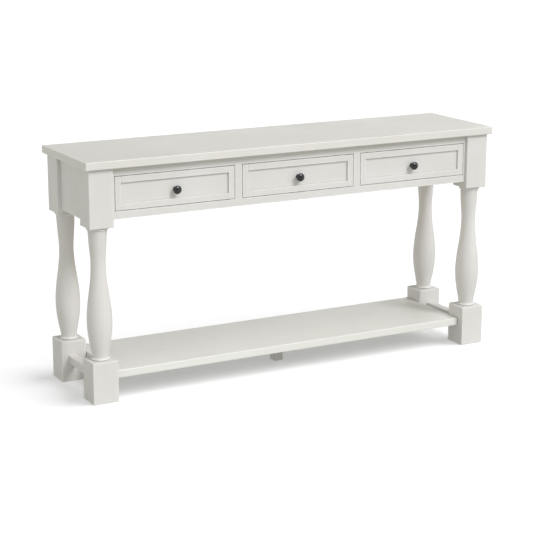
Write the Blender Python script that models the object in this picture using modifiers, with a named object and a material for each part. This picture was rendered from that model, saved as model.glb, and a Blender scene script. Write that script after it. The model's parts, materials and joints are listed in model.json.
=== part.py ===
"""Console table: a long painted top on four turned legs, three inset drawers and a low shelf.

Metres, +Z up. The origin is on the floor under the middle of the table. The drawers open
towards -Y, which is the front, and left and right are as seen from the front.

The legs stand in the corners of an apron box. Each leg is turned between a square corner post
and a square foot block, and is held in both by a round tenon. The face frame, the side panels
and the back panel are tongued into the posts. Stretchers join the foot blocks at each end, and
the shelf lies between the blocks on four hidden dowels.
"""

import math

import bmesh
import bpy
from mathutils import Vector

# Overall sizes
TABLE_LENGTH = 1.480
TABLE_DEPTH = 0.370
TABLE_HEIGHT = 0.762

# Top, made of a wide front board and a narrow rear board
TOP_THICKNESS = 0.0245
TOP_OVERHANG = 0.0125
REAR_BOARD_DEPTH = 0.096

# Corner posts, legs and foot blocks, all centred on the leg's axis
POST_WIDTH = 0.080
POST_LENGTH = 0.1835
BLOCK_WIDTH = 0.084
BLOCK_HEIGHT = 0.134
TENON_RADIUS = 0.016
TENON_LENGTH = 0.030
NECK_RADIUS = 0.027
NECK_HEIGHT = 0.0015
COLLAR_RADIUS = 0.0345
COLLAR_HEIGHT = 0.0065
SHOULDER_RADIUS = 0.0287
SHOULDER_DROP = 0.024
WAIST_RADIUS = 0.0234
WAIST_DROP = 0.119
BELLY_RADIUS = 0.0396
BELLY_RISE = 0.122
ANKLE_RADIUS = 0.0250
BEAD_RADIUS = 0.0295
BEAD_HEIGHT = 0.0065
TURNING_STEPS = 20

# Face frame and apron
FRAME_THICKNESS = 0.020
FRAME_INSET = 0.011
TOP_RAIL_HEIGHT = 0.0275
BOTTOM_RAIL_HEIGHT = 0.024
DRAWER_OPENING_HEIGHT = 0.109
END_STILE_WIDTH = 0.008
DIVIDER_WIDTH = 0.025
SIDE_PANEL_THICKNESS = 0.012
SIDE_PANEL_INSET = 0.0125
SIDE_PANEL_LIFT = 0.014
BACK_PANEL_THICKNESS = 0.012
BACK_PANEL_INSET = 0.012
TONGUE_DEPTH = 0.008

# Drawers
DRAWER_COUNT = 3
DRAWER_GAP = 0.002
DRAWER_FRAME_WIDTH = 0.020
DRAWER_PANEL_THICKNESS = 0.006
DRAWER_PANEL_RECESS = 0.006
DRAWER_PANEL_TONGUE = 0.006
BOX_SIDE_CLEARANCE = 0.006
BOX_BACK_CLEARANCE = 0.012
BOX_BOARD_THICKNESS = 0.012
BOX_HEIGHT = 0.085
BOX_RISE = 0.004
BOTTOM_THICKNESS = 0.005
BOTTOM_RISE = 0.008
BOTTOM_TONGUE = 0.005
RUNNER_PLATE_THICKNESS = 0.010
RUNNER_RIB_HEIGHT = 0.014
RUNNER_SIDE_PLAY = 0.001

# Knobs
KNOB_RADIUS = 0.0135
KNOB_LENGTH = 0.024
KNOB_HEAD_HEIGHT = 0.0145
KNOB_DROP = 0.004
KNOB_FOOT_RADIUS = 0.0085
KNOB_FOOT_HEIGHT = 0.002
KNOB_STEM_RADIUS = 0.0065
SCREW_RADIUS = 0.002
SCREW_HEAD_RADIUS = 0.0045
SCREW_HEAD_HEIGHT = 0.0025
SCREW_GRIP = 0.012
KNOB_STEPS = 16
SCREW_STEPS = 10
DOWEL_STEPS = 12

# Lower frame and shelf
STRETCHER_WIDTH = 0.027
STRETCHER_HEIGHT = 0.026
STRETCHER_RISE = 0.061
STRETCHER_OUTER_INSET = 0.024
STRETCHER_TENON = 0.012
SHELF_THICKNESS = 0.025
SHELF_RISE = 0.068
SHELF_FRONT_INSET = 0.026
SHELF_BACK_INSET = 0.002
SHELF_END_CLEARANCE = 0.001
SHELF_DOWEL_RADIUS = 0.005
SHELF_DOWEL_REACH = 0.020
CENTRE_FOOT_WIDTH = 0.032
CENTRE_FOOT_INSET = 0.120

# Clearances and softened edges
CONTACT_GAP = 0.0003
EASED_EDGE = 0.0015
FINE_EDGE = 0.0006
CUT_THROUGH = 0.002

# Places worked out from the sizes above
TOP_UNDERSIDE = TABLE_HEIGHT - TOP_THICKNESS
APRON_TOP = TOP_UNDERSIDE - CONTACT_GAP
POST_BOTTOM = TOP_UNDERSIDE - POST_LENGTH
POST_OUTER_X = TABLE_LENGTH / 2 - TOP_OVERHANG
POST_OUTER_Y = TABLE_DEPTH / 2 - TOP_OVERHANG
LEG_X = POST_OUTER_X - POST_WIDTH / 2
LEG_Y = POST_OUTER_Y - POST_WIDTH / 2
POST_INNER_X = LEG_X - POST_WIDTH / 2
POST_INNER_Y = LEG_Y - POST_WIDTH / 2
BLOCK_INNER_X = LEG_X - BLOCK_WIDTH / 2
BLOCK_INNER_Y = LEG_Y - BLOCK_WIDTH / 2
BLOCK_OUTER_Y = LEG_Y + BLOCK_WIDTH / 2

FRAME_FRONT = -POST_OUTER_Y + FRAME_INSET
FRAME_BACK = FRAME_FRONT + FRAME_THICKNESS
OPENING_TOP = TOP_UNDERSIDE - TOP_RAIL_HEIGHT
OPENING_BOTTOM = OPENING_TOP - DRAWER_OPENING_HEIGHT
FRAME_BOTTOM = OPENING_BOTTOM - BOTTOM_RAIL_HEIGHT
INNER_LENGTH = 2 * POST_INNER_X
OPENING_WIDTH = (
    INNER_LENGTH - 2 * END_STILE_WIDTH - (DRAWER_COUNT - 1) * DIVIDER_WIDTH
) / DRAWER_COUNT
OPENING_PITCH = OPENING_WIDTH + DIVIDER_WIDTH
SIDE_PANEL_OUTER = POST_OUTER_X - SIDE_PANEL_INSET
SIDE_PANEL_INNER = SIDE_PANEL_OUTER - SIDE_PANEL_THICKNESS
SIDE_PANEL_BOTTOM = POST_BOTTOM + SIDE_PANEL_LIFT
BACK_PANEL_BACK = POST_OUTER_Y - BACK_PANEL_INSET
BACK_PANEL_FRONT = BACK_PANEL_BACK - BACK_PANEL_THICKNESS
TONGUE_REACH = TONGUE_DEPTH - CONTACT_GAP

BOX_FRONT = FRAME_BACK + CONTACT_GAP
BOX_BACK = BACK_PANEL_FRONT - BOX_BACK_CLEARANCE
BOX_BOTTOM = OPENING_BOTTOM + BOX_RISE
BOX_HALF_WIDTH = OPENING_WIDTH / 2 - BOX_SIDE_CLEARANCE
PANEL_FACE = FRAME_FRONT + DRAWER_PANEL_RECESS
PANEL_REAR = PANEL_FACE + DRAWER_PANEL_THICKNESS
KNOB_HEIGHT = (OPENING_BOTTOM + OPENING_TOP) / 2 - KNOB_DROP

SHELF_FRONT = -BLOCK_OUTER_Y + SHELF_FRONT_INSET
SHELF_BACK = BLOCK_OUTER_Y - SHELF_BACK_INSET
SHELF_TOP = SHELF_RISE + SHELF_THICKNESS
STRETCHER_X = LEG_X + BLOCK_WIDTH / 2 - STRETCHER_OUTER_INSET - STRETCHER_WIDTH / 2

SIDES = {"left": -1, "right": 1}
ENDS = {"front": -1, "rear": 1}
DRAWER_NAMES = ("left_drawer", "middle_drawer", "right_drawer")


def start_clean():
    """Remove every object that the file opened with."""
    for leftover in list(bpy.data.objects):
        bpy.data.objects.remove(leftover, do_unlink=True)


def new_collection(name):
    """A collection linked to the scene."""
    collection = bpy.data.collections.new(name)
    bpy.context.scene.collection.children.link(collection)
    return collection


def new_material(name, colour, roughness, metallic=0.0):
    """A plain Principled material."""
    material = bpy.data.materials.new(name)
    material.use_nodes = True
    shader = material.node_tree.nodes["Principled BSDF"]
    shader.inputs["Base Color"].default_value = (*colour, 1.0)
    shader.inputs["Roughness"].default_value = roughness
    shader.inputs["Metallic"].default_value = metallic
    return material


start_clean()
TABLE = new_collection("console_table")
CUTTERS = new_collection("cutters")
PAINT = new_material("antique_white_paint", (0.73, 0.72, 0.69), 0.48)
TOP_PAINT = new_material("antique_white_top_paint", (0.69, 0.68, 0.65), 0.42)
RAW_WOOD = new_material("drawer_box_wood", (0.62, 0.48, 0.32), 0.60)
KNOB_METAL = new_material("dark_bronze", (0.030, 0.031, 0.038), 0.32, 0.7)
STEEL = new_material("zinc_plated_steel", (0.55, 0.55, 0.56), 0.35, 1.0)


def place(name, mesh, location, material, parent=None):
    """Put a mesh in the table's collection, at a place in the world."""
    mesh.name = name
    mesh.materials.append(material)
    piece = bpy.data.objects.new(name, mesh)
    TABLE.objects.link(piece)
    piece.location = location
    if parent:
        piece.parent = parent
        piece.location = Vector(location) - parent.location
    return piece


def box_mesh(size):
    """A closed box of the given size about its own middle."""
    mesh = bpy.data.meshes.new("box")
    shape = bmesh.new()
    bmesh.ops.create_cube(shape, size=1.0)
    bmesh.ops.scale(shape, vec=size, verts=shape.verts)
    shape.to_mesh(mesh)
    shape.free()
    return mesh


def ease_edges(piece, width):
    """Round a piece's sharp edges."""
    bevel = piece.modifiers.new("eased_edges", "BEVEL")
    bevel.width = width
    bevel.segments = 1
    bevel.limit_method = "ANGLE"


def board(name, low, high, material=PAINT, edge=FINE_EDGE, parent=None):
    """A rectangular board between two corners."""
    low = Vector(low)
    high = Vector(high)
    piece = place(name, box_mesh(high - low), (low + high) / 2, material, parent)
    ease_edges(piece, edge)
    return piece


def cutter(name, mesh, location):
    """A hidden solid that takes material away from another."""
    tool = bpy.data.objects.new(name, mesh)
    CUTTERS.objects.link(tool)
    tool.location = location
    tool.hide_render = True
    tool.display_type = "WIRE"
    return tool


def box_cutter(name, low, high):
    """A rectangular cutter between two corners."""
    low = Vector(low)
    high = Vector(high)
    return cutter(name, box_mesh(high - low), (low + high) / 2)


def round_cutter(name, radius, low, high, segments=TURNING_STEPS):
    """A round cutter along the line from one point to another."""
    low = Vector(low)
    high = Vector(high)
    mesh = bpy.data.meshes.new(name)
    shape = bmesh.new()
    bmesh.ops.create_cone(
        shape,
        cap_ends=True,
        segments=segments,
        radius1=radius,
        radius2=radius,
        depth=(high - low).length,
    )
    shape.to_mesh(mesh)
    shape.free()
    tool = cutter(name, mesh, (low + high) / 2)
    tool.rotation_mode = "QUATERNION"
    tool.rotation_quaternion = (high - low).to_track_quat("Z", "Y")
    return tool


def cut(piece, tool):
    """Take a cutter's shape out of a piece."""
    boolean = piece.modifiers.new(tool.name, "BOOLEAN")
    boolean.operation = "DIFFERENCE"
    boolean.solver = "EXACT"
    boolean.object = tool


def turned(name, profile, location, material, steps=TURNING_STEPS, parent=None):
    """A turned piece from its (radius, height) profile, which runs down its outer side."""
    mesh = bpy.data.meshes.new(name)
    points = [(radius, 0.0, height) for radius, height in profile]
    edges = [(i, i + 1) for i in range(len(points) - 1)]
    mesh.from_pydata(points, edges, [])
    piece = place(name, mesh, location, material, parent)
    screw = piece.modifiers.new("turning", "SCREW")
    screw.axis = "Z"
    screw.steps = steps
    screw.render_steps = steps
    screw.use_merge_vertices = True
    screw.merge_threshold = 0.00001
    screw.use_smooth_shade = True
    return piece


def easing(share):
    """A smooth step from 0 to 1, level at both ends."""
    return (1 - math.cos(math.pi * share)) / 2


def half_round(radius, low, high, bulge, steps=3):
    """A half-round moulding between two heights, standing out from the given radius."""
    middle = (low + high) / 2
    half = (high - low) / 2
    angles = [math.pi * i / steps for i in range(steps + 1)]
    return [(radius + bulge * math.sin(a), middle + half * math.cos(a)) for a in angles]


def leg_profile(length):
    """The leg's turned outline, with its foot bead at height 0 and its neck at the length."""
    collar_top = length - NECK_HEIGHT
    collar_bottom = collar_top - COLLAR_HEIGHT
    shoulder = length - SHOULDER_DROP
    waist = length - WAIST_DROP
    profile = [
        (0.0, length + TENON_LENGTH),
        (TENON_RADIUS, length + TENON_LENGTH),
        (TENON_RADIUS, length),
        (NECK_RADIUS, length),
        (NECK_RADIUS, collar_top),
    ]
    collar_core = COLLAR_RADIUS - COLLAR_HEIGHT / 2
    profile += half_round(collar_core, collar_bottom, collar_top, COLLAR_HEIGHT / 2)
    for i in range(5):
        share = i / 4
        radius = SHOULDER_RADIUS + (WAIST_RADIUS - SHOULDER_RADIUS) * easing(share)
        profile.append((radius, shoulder + (waist - shoulder) * share))
    for i in range(1, 8):
        share = i / 7
        radius = WAIST_RADIUS + (BELLY_RADIUS - WAIST_RADIUS) * easing(share)
        profile.append((radius, waist + (BELLY_RISE - waist) * share))
    for i in range(1, 6):
        share = i / 5
        radius = ANKLE_RADIUS + (BELLY_RADIUS - ANKLE_RADIUS) * math.cos(math.pi / 2 * share)
        profile.append((radius, BELLY_RISE + (BEAD_HEIGHT - BELLY_RISE) * share))
    bead_core = BEAD_RADIUS - BEAD_HEIGHT / 2
    profile += half_round(bead_core, 0.0, BEAD_HEIGHT, BEAD_HEIGHT / 2)
    profile += [(TENON_RADIUS, 0.0), (TENON_RADIUS, -TENON_LENGTH), (0.0, -TENON_LENGTH)]
    return profile


def make_top():
    """The two boards of the top."""
    half_length = TABLE_LENGTH / 2
    half_depth = TABLE_DEPTH / 2
    seam = half_depth - REAR_BOARD_DEPTH
    board(
        "top_front_board",
        (-half_length, -half_depth, TOP_UNDERSIDE),
        (half_length, seam - CONTACT_GAP, TABLE_HEIGHT),
        TOP_PAINT,
        EASED_EDGE,
    )
    board(
        "top_rear_board",
        (-half_length, seam, TOP_UNDERSIDE),
        (half_length, half_depth, TABLE_HEIGHT),
        TOP_PAINT,
        EASED_EDGE,
    )


def make_corner(end, end_sign, side, side_sign):
    """One corner: post, turned leg and foot block on a common axis."""
    axis = (side_sign * LEG_X, end_sign * LEG_Y)
    corner = f"{end}_{side}"
    half_post = POST_WIDTH / 2
    half_block = BLOCK_WIDTH / 2
    post = board(
        f"{corner}_post",
        (axis[0] - half_post, axis[1] - half_post, POST_BOTTOM),
        (axis[0] + half_post, axis[1] + half_post, APRON_TOP),
        PAINT,
        EASED_EDGE,
    )
    block = board(
        f"{corner}_foot_block",
        (axis[0] - half_block, axis[1] - half_block, 0.0),
        (axis[0] + half_block, axis[1] + half_block, BLOCK_HEIGHT),
        PAINT,
        EASED_EDGE,
    )
    socket_radius = TENON_RADIUS + CONTACT_GAP
    socket_depth = TENON_LENGTH + 2 * CONTACT_GAP
    cut(post, round_cutter(
        f"{corner}_post_socket",
        socket_radius,
        (*axis, POST_BOTTOM - CUT_THROUGH),
        (*axis, POST_BOTTOM + socket_depth),
    ))
    cut(block, round_cutter(
        f"{corner}_block_socket",
        socket_radius,
        (*axis, BLOCK_HEIGHT - socket_depth),
        (*axis, BLOCK_HEIGHT + CUT_THROUGH),
    ))
    groove_along_length(post, corner, end_sign, side_sign)
    groove_along_depth(post, corner, end_sign, side_sign)
    stretcher_mortise(block, corner, end_sign, side_sign)
    length = POST_BOTTOM - BLOCK_HEIGHT - 2 * CONTACT_GAP
    turned(
        f"{corner}_leg",
        leg_profile(length),
        (*axis, BLOCK_HEIGHT + CONTACT_GAP),
        PAINT,
    )


def ordered(first, second):
    """Two coordinates, lowest first."""
    return min(first, second), max(first, second)


def groove_along_length(post, corner, end_sign, side_sign):
    """The groove in a post's inner side face, for the face frame or the back panel."""
    if end_sign < 0:
        front, back = FRAME_FRONT, FRAME_BACK
    else:
        front, back = BACK_PANEL_FRONT, BACK_PANEL_BACK
    low_x, high_x = ordered(
        side_sign * (POST_INNER_X - CUT_THROUGH), side_sign * (POST_INNER_X + TONGUE_DEPTH)
    )
    cut(post, box_cutter(
        f"{corner}_length_groove",
        (low_x, front - CONTACT_GAP, FRAME_BOTTOM - CONTACT_GAP),
        (high_x, back + CONTACT_GAP, APRON_TOP + CUT_THROUGH),
    ))


def groove_along_depth(post, corner, end_sign, side_sign):
    """The groove in a post's inner front or back face, for the side panel."""
    low_x, high_x = ordered(side_sign * SIDE_PANEL_INNER, side_sign * SIDE_PANEL_OUTER)
    low_y, high_y = ordered(
        end_sign * (POST_INNER_Y - CUT_THROUGH), end_sign * (POST_INNER_Y + TONGUE_DEPTH)
    )
    cut(post, box_cutter(
        f"{corner}_depth_groove",
        (low_x - CONTACT_GAP, low_y, SIDE_PANEL_BOTTOM - CONTACT_GAP),
        (high_x + CONTACT_GAP, high_y, APRON_TOP + CUT_THROUGH),
    ))


def stretcher_mortise(block, corner, end_sign, side_sign):
    """The mortise in a foot block that the end stretcher enters."""
    half_width = STRETCHER_WIDTH / 2 + CONTACT_GAP
    middle = side_sign * STRETCHER_X
    low_y, high_y = ordered(
        end_sign * (BLOCK_INNER_Y - CUT_THROUGH),
        end_sign * (BLOCK_INNER_Y + STRETCHER_TENON + CONTACT_GAP),
    )
    cut(block, box_cutter(
        f"{corner}_stretcher_mortise",
        (middle - half_width, low_y, STRETCHER_RISE - CONTACT_GAP),
        (middle + half_width, high_y, STRETCHER_RISE + STRETCHER_HEIGHT + CONTACT_GAP),
    ))


def make_face_frame():
    """The rails, dividers and end stiles around the drawers."""
    reach = POST_INNER_X + TONGUE_REACH
    board(
        "front_top_rail",
        (-reach, FRAME_FRONT, OPENING_TOP),
        (reach, FRAME_BACK, APRON_TOP),
    )
    board(
        "front_bottom_rail",
        (-reach, FRAME_FRONT, FRAME_BOTTOM),
        (reach, FRAME_BACK, OPENING_BOTTOM),
    )
    low_z = OPENING_BOTTOM + CONTACT_GAP
    high_z = OPENING_TOP - CONTACT_GAP
    for side, sign in SIDES.items():
        low_x, high_x = ordered(sign * (POST_INNER_X - END_STILE_WIDTH), sign * reach)
        board(f"{side}_end_stile", (low_x, FRAME_FRONT, low_z), (high_x, FRAME_BACK, high_z))
    for number in range(1, DRAWER_COUNT):
        middle = divider_x(number)
        half = DIVIDER_WIDTH / 2
        board(
            f"drawer_divider_{number}",
            (middle - half, FRAME_FRONT, low_z),
            (middle + half, FRAME_BACK, high_z),
        )


def divider_x(number):
    """The middle of a divider, counted from 1 at the left."""
    return (number - DRAWER_COUNT / 2) * OPENING_PITCH


def drawer_x(number):
    """The middle of a drawer, counted from 0 at the left."""
    return (number - (DRAWER_COUNT - 1) / 2) * OPENING_PITCH


def make_panels():
    """The side panels and the back panel, tongued into the posts."""
    reach_y = POST_INNER_Y + TONGUE_REACH
    for side, sign in SIDES.items():
        low_x, high_x = ordered(sign * SIDE_PANEL_INNER, sign * SIDE_PANEL_OUTER)
        board(
            f"{side}_side_panel",
            (low_x, -reach_y, SIDE_PANEL_BOTTOM),
            (high_x, reach_y, APRON_TOP),
        )
    reach_x = POST_INNER_X + TONGUE_REACH
    board(
        "back_panel",
        (-reach_x, BACK_PANEL_FRONT, FRAME_BOTTOM),
        (reach_x, BACK_PANEL_BACK, APRON_TOP),
    )


def extruded_outline(name, outline, low_y, high_y, material):
    """A flat outline in X and Z, given as a closed ring of points, extruded along Y."""
    curve = bpy.data.curves.new(name, "CURVE")
    curve.dimensions = "2D"
    curve.fill_mode = "BOTH"
    curve.extrude = (high_y - low_y) / 2
    spline = curve.splines.new("POLY")
    spline.points.add(len(outline) - 1)
    for point, (x, z) in zip(spline.points, outline):
        point.co = (x, z, 0.0, 1.0)
    spline.use_cyclic_u = True
    curve.materials.append(material)
    piece = bpy.data.objects.new(name, curve)
    TABLE.objects.link(piece)
    piece.rotation_euler = (math.pi / 2, 0.0, 0.0)
    piece.location = (0.0, (low_y + high_y) / 2, 0.0)
    return piece


def make_runners():
    """The wooden runners under the drawer sides, with a rib that guides the sides."""
    plate_top = BOX_BOTTOM - CONTACT_GAP
    plate_bottom = plate_top - RUNNER_PLATE_THICKNESS
    rib_top = plate_top + RUNNER_RIB_HEIGHT
    low_y = FRAME_BACK + CONTACT_GAP
    high_y = BACK_PANEL_FRONT - CONTACT_GAP
    half_rib = DIVIDER_WIDTH / 2 + BOX_SIDE_CLEARANCE - RUNNER_SIDE_PLAY
    half_plate = half_rib + RUNNER_SIDE_PLAY + BOX_BOARD_THICKNESS
    for number in range(1, DRAWER_COUNT):
        middle = divider_x(number)
        outline = [
            (middle - half_plate, plate_bottom),
            (middle + half_plate, plate_bottom),
            (middle + half_plate, plate_top),
            (middle + half_rib, plate_top),
            (middle + half_rib, rib_top),
            (middle - half_rib, rib_top),
            (middle - half_rib, plate_top),
            (middle - half_plate, plate_top),
        ]
        extruded_outline(f"middle_runner_{number}", outline, low_y, high_y, RAW_WOOD)
    outer = POST_INNER_X - CONTACT_GAP
    box_side = drawer_x(DRAWER_COUNT - 1) + BOX_HALF_WIDTH
    rib = box_side + RUNNER_SIDE_PLAY
    inner = box_side - BOX_BOARD_THICKNESS
    for side, sign in SIDES.items():
        outline = [
            (sign * inner, plate_bottom),
            (sign * outer, plate_bottom),
            (sign * outer, rib_top),
            (sign * rib, rib_top),
            (sign * rib, plate_top),
            (sign * inner, plate_top),
        ]
        extruded_outline(f"{side}_runner", outline, low_y, high_y, RAW_WOOD)


def make_drawer(name, middle):
    """One drawer, with its pieces under an empty on the line that it slides along."""
    slide = bpy.data.objects.new(f"{name}_slide", None)
    TABLE.objects.link(slide)
    slide.location = (middle, FRAME_FRONT, KNOB_HEIGHT)
    make_drawer_front(name, middle, slide)
    make_drawer_box(name, middle, slide)
    make_knob(name, middle, slide)


def make_drawer_front(name, middle, slide):
    """The drawer front: a frame around a recessed flat panel."""
    half_width = OPENING_WIDTH / 2 - DRAWER_GAP
    low_z = OPENING_BOTTOM + DRAWER_GAP
    high_z = OPENING_TOP - DRAWER_GAP
    inner_half = half_width - DRAWER_FRAME_WIDTH
    inner_low = low_z + DRAWER_FRAME_WIDTH
    inner_high = high_z - DRAWER_FRAME_WIDTH
    frame = board(
        f"{name}_front_frame",
        (middle - half_width, FRAME_FRONT, low_z),
        (middle + half_width, FRAME_BACK, high_z),
        parent=slide,
    )
    cut(frame, box_cutter(
        f"{name}_frame_window",
        (middle - inner_half, FRAME_FRONT - CUT_THROUGH, inner_low),
        (middle + inner_half, FRAME_BACK + CUT_THROUGH, inner_high),
    ))
    groove = DRAWER_PANEL_TONGUE + CONTACT_GAP
    cut(frame, box_cutter(
        f"{name}_frame_groove",
        (middle - inner_half - groove, PANEL_FACE - CONTACT_GAP, inner_low - groove),
        (middle + inner_half + groove, PANEL_REAR + CONTACT_GAP, inner_high + groove),
    ))
    tongue = DRAWER_PANEL_TONGUE
    panel = board(
        f"{name}_front_panel",
        (middle - inner_half - tongue, PANEL_FACE, inner_low - tongue),
        (middle + inner_half + tongue, PANEL_REAR, inner_high + tongue),
        parent=slide,
    )
    cut(panel, round_cutter(
        f"{name}_screw_hole",
        SCREW_RADIUS + CONTACT_GAP,
        (middle, PANEL_FACE - CUT_THROUGH, KNOB_HEIGHT),
        (middle, PANEL_REAR + CUT_THROUGH, KNOB_HEIGHT),
        segments=SCREW_STEPS,
    ))


def make_drawer_box(name, middle, slide):
    """The drawer box: two sides, a back that stands on the bottom, and the bottom."""
    top = BOX_BOTTOM + BOX_HEIGHT
    bottom_low = BOX_BOTTOM + BOTTOM_RISE
    bottom_high = bottom_low + BOTTOM_THICKNESS
    side_inner = BOX_HALF_WIDTH - BOX_BOARD_THICKNESS
    bottom_half = side_inner + BOTTOM_TONGUE
    for side, sign in SIDES.items():
        low_x, high_x = ordered(middle + sign * side_inner, middle + sign * BOX_HALF_WIDTH)
        wall = board(
            f"{name}_{side}_side",
            (low_x, BOX_FRONT, BOX_BOTTOM),
            (high_x, BOX_BACK, top),
            RAW_WOOD,
            parent=slide,
        )
        low_x, high_x = ordered(
            middle + sign * (side_inner - CUT_THROUGH),
            middle + sign * (bottom_half + CONTACT_GAP),
        )
        cut(wall, box_cutter(
            f"{name}_{side}_bottom_groove",
            (low_x, BOX_FRONT - CUT_THROUGH, bottom_low - CONTACT_GAP),
            (high_x, BOX_BACK + CUT_THROUGH, bottom_high + CONTACT_GAP),
        ))
    board(
        f"{name}_back",
        (
            middle - side_inner + CONTACT_GAP,
            BOX_BACK - BOX_BOARD_THICKNESS,
            bottom_high + CONTACT_GAP,
        ),
        (middle + side_inner - CONTACT_GAP, BOX_BACK, top),
        RAW_WOOD,
        parent=slide,
    )
    board(
        f"{name}_bottom",
        (middle - bottom_half, BOX_FRONT, bottom_low),
        (middle + bottom_half, BOX_BACK, bottom_high),
        RAW_WOOD,
        parent=slide,
    )


def make_knob(name, middle, slide):
    """The turned knob and the screw that holds it from inside the drawer."""
    bore = SCREW_RADIUS + CONTACT_GAP
    bore_depth = SCREW_GRIP + CONTACT_GAP
    head_base = KNOB_LENGTH - KNOB_HEAD_HEIGHT
    stem_turn = math.pi - math.asin(KNOB_STEM_RADIUS / KNOB_RADIUS)
    profile = []
    for i in range(8):
        turn = stem_turn * i / 7
        height = head_base + KNOB_HEAD_HEIGHT * (1 + math.cos(turn)) / 2
        profile.append((KNOB_RADIUS * math.sin(turn), height))
    profile += [
        (KNOB_STEM_RADIUS, 2 * KNOB_FOOT_HEIGHT),
        (KNOB_FOOT_RADIUS, KNOB_FOOT_HEIGHT),
        (KNOB_FOOT_RADIUS, 0.0),
        (bore, 0.0),
        (bore, bore_depth),
        (0.0, bore_depth),
    ]
    knob = turned(
        f"{name}_knob",
        profile,
        (middle, PANEL_FACE - CONTACT_GAP, KNOB_HEIGHT),
        KNOB_METAL,
        steps=KNOB_STEPS,
        parent=slide,
    )
    knob.rotation_euler = (math.pi / 2, 0.0, 0.0)
    shank = SCREW_GRIP + DRAWER_PANEL_THICKNESS + CONTACT_GAP
    screw_profile = [
        (0.0, shank),
        (SCREW_RADIUS, shank),
        (SCREW_RADIUS, 0.0),
        (SCREW_HEAD_RADIUS, 0.0),
        (SCREW_HEAD_RADIUS, FINE_EDGE - SCREW_HEAD_HEIGHT),
        (SCREW_HEAD_RADIUS - FINE_EDGE, -SCREW_HEAD_HEIGHT),
        (0.0, -SCREW_HEAD_HEIGHT),
    ]
    screw = turned(
        f"{name}_knob_screw",
        screw_profile,
        (middle, PANEL_REAR + CONTACT_GAP, KNOB_HEIGHT),
        STEEL,
        steps=SCREW_STEPS,
        parent=slide,
    )
    screw.rotation_euler = (math.pi / 2, 0.0, 0.0)


def make_lower_frame():
    """The end stretchers, the shelf with its dowels, and the foot under its middle."""
    reach = BLOCK_INNER_Y + STRETCHER_TENON
    for side, sign in SIDES.items():
        middle = sign * STRETCHER_X
        board(
            f"{side}_stretcher",
            (middle - STRETCHER_WIDTH / 2, -reach, STRETCHER_RISE),
            (middle + STRETCHER_WIDTH / 2, reach, STRETCHER_RISE + STRETCHER_HEIGHT),
        )
    half_length = BLOCK_INNER_X - SHELF_END_CLEARANCE
    shelf = board(
        "shelf",
        (-half_length, SHELF_FRONT, SHELF_RISE),
        (half_length, SHELF_BACK, SHELF_TOP),
        TOP_PAINT,
        EASED_EDGE,
    )
    for end, end_sign in ENDS.items():
        for side, side_sign in SIDES.items():
            make_shelf_dowel(f"{end}_{side}", end_sign, side_sign, shelf)
    foot_front = SHELF_FRONT + CENTRE_FOOT_INSET
    half = CENTRE_FOOT_WIDTH / 2
    board(
        "shelf_centre_foot",
        (-half, foot_front, 0.0),
        (half, foot_front + CENTRE_FOOT_WIDTH, SHELF_RISE - CONTACT_GAP),
    )


def make_shelf_dowel(corner, end_sign, side_sign, shelf):
    """A dowel hidden in a foot block and in the shelf's end, with its two holes."""
    shelf_edge = SHELF_FRONT if end_sign < 0 else SHELF_BACK
    middle_y = (end_sign * BLOCK_INNER_Y + shelf_edge) / 2
    middle_z = SHELF_RISE + SHELF_THICKNESS / 2
    shelf_end = BLOCK_INNER_X - SHELF_END_CLEARANCE
    inner = shelf_end - SHELF_DOWEL_REACH
    outer = BLOCK_INNER_X + SHELF_DOWEL_REACH
    half = (outer - inner) / 2
    dowel = turned(
        f"{corner}_shelf_dowel",
        [
            (0.0, half),
            (SHELF_DOWEL_RADIUS - FINE_EDGE, half),
            (SHELF_DOWEL_RADIUS, half - FINE_EDGE),
            (SHELF_DOWEL_RADIUS, FINE_EDGE - half),
            (SHELF_DOWEL_RADIUS - FINE_EDGE, -half),
            (0.0, -half),
        ],
        (side_sign * (inner + outer) / 2, middle_y, middle_z),
        RAW_WOOD,
        steps=DOWEL_STEPS,
    )
    dowel.rotation_euler = (0.0, math.pi / 2, 0.0)
    block = bpy.data.objects[f"{corner}_foot_block"]
    spans = (
        (block, "block", BLOCK_INNER_X - CUT_THROUGH, outer + CONTACT_GAP),
        (shelf, "shelf", inner - CONTACT_GAP, shelf_end + CUT_THROUGH),
    )
    for piece, hole_name, low_x, high_x in spans:
        cut(piece, round_cutter(
            f"{corner}_{hole_name}_dowel_hole",
            SHELF_DOWEL_RADIUS + CONTACT_GAP,
            (side_sign * low_x, middle_y, middle_z),
            (side_sign * high_x, middle_y, middle_z),
            segments=DOWEL_STEPS,
        ))


make_top()
for end_name, end_direction in ENDS.items():
    for side_name, side_direction in SIDES.items():
        make_corner(end_name, end_direction, side_name, side_direction)
make_face_frame()
make_panels()
make_runners()
for index, drawer_name in enumerate(DRAWER_NAMES):
    make_drawer(drawer_name, drawer_x(index))
make_lower_frame()
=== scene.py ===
"""Painted console table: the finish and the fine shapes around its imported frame.

Metres, +Z up, with the front of the table towards -Y. Every board is built again with softly
rounded arrises, the legs and knobs are turned finely, and the drawer fronts get their stiles
and rails. Places and sizes come from the frame's own pieces.
"""

import json
import math

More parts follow.
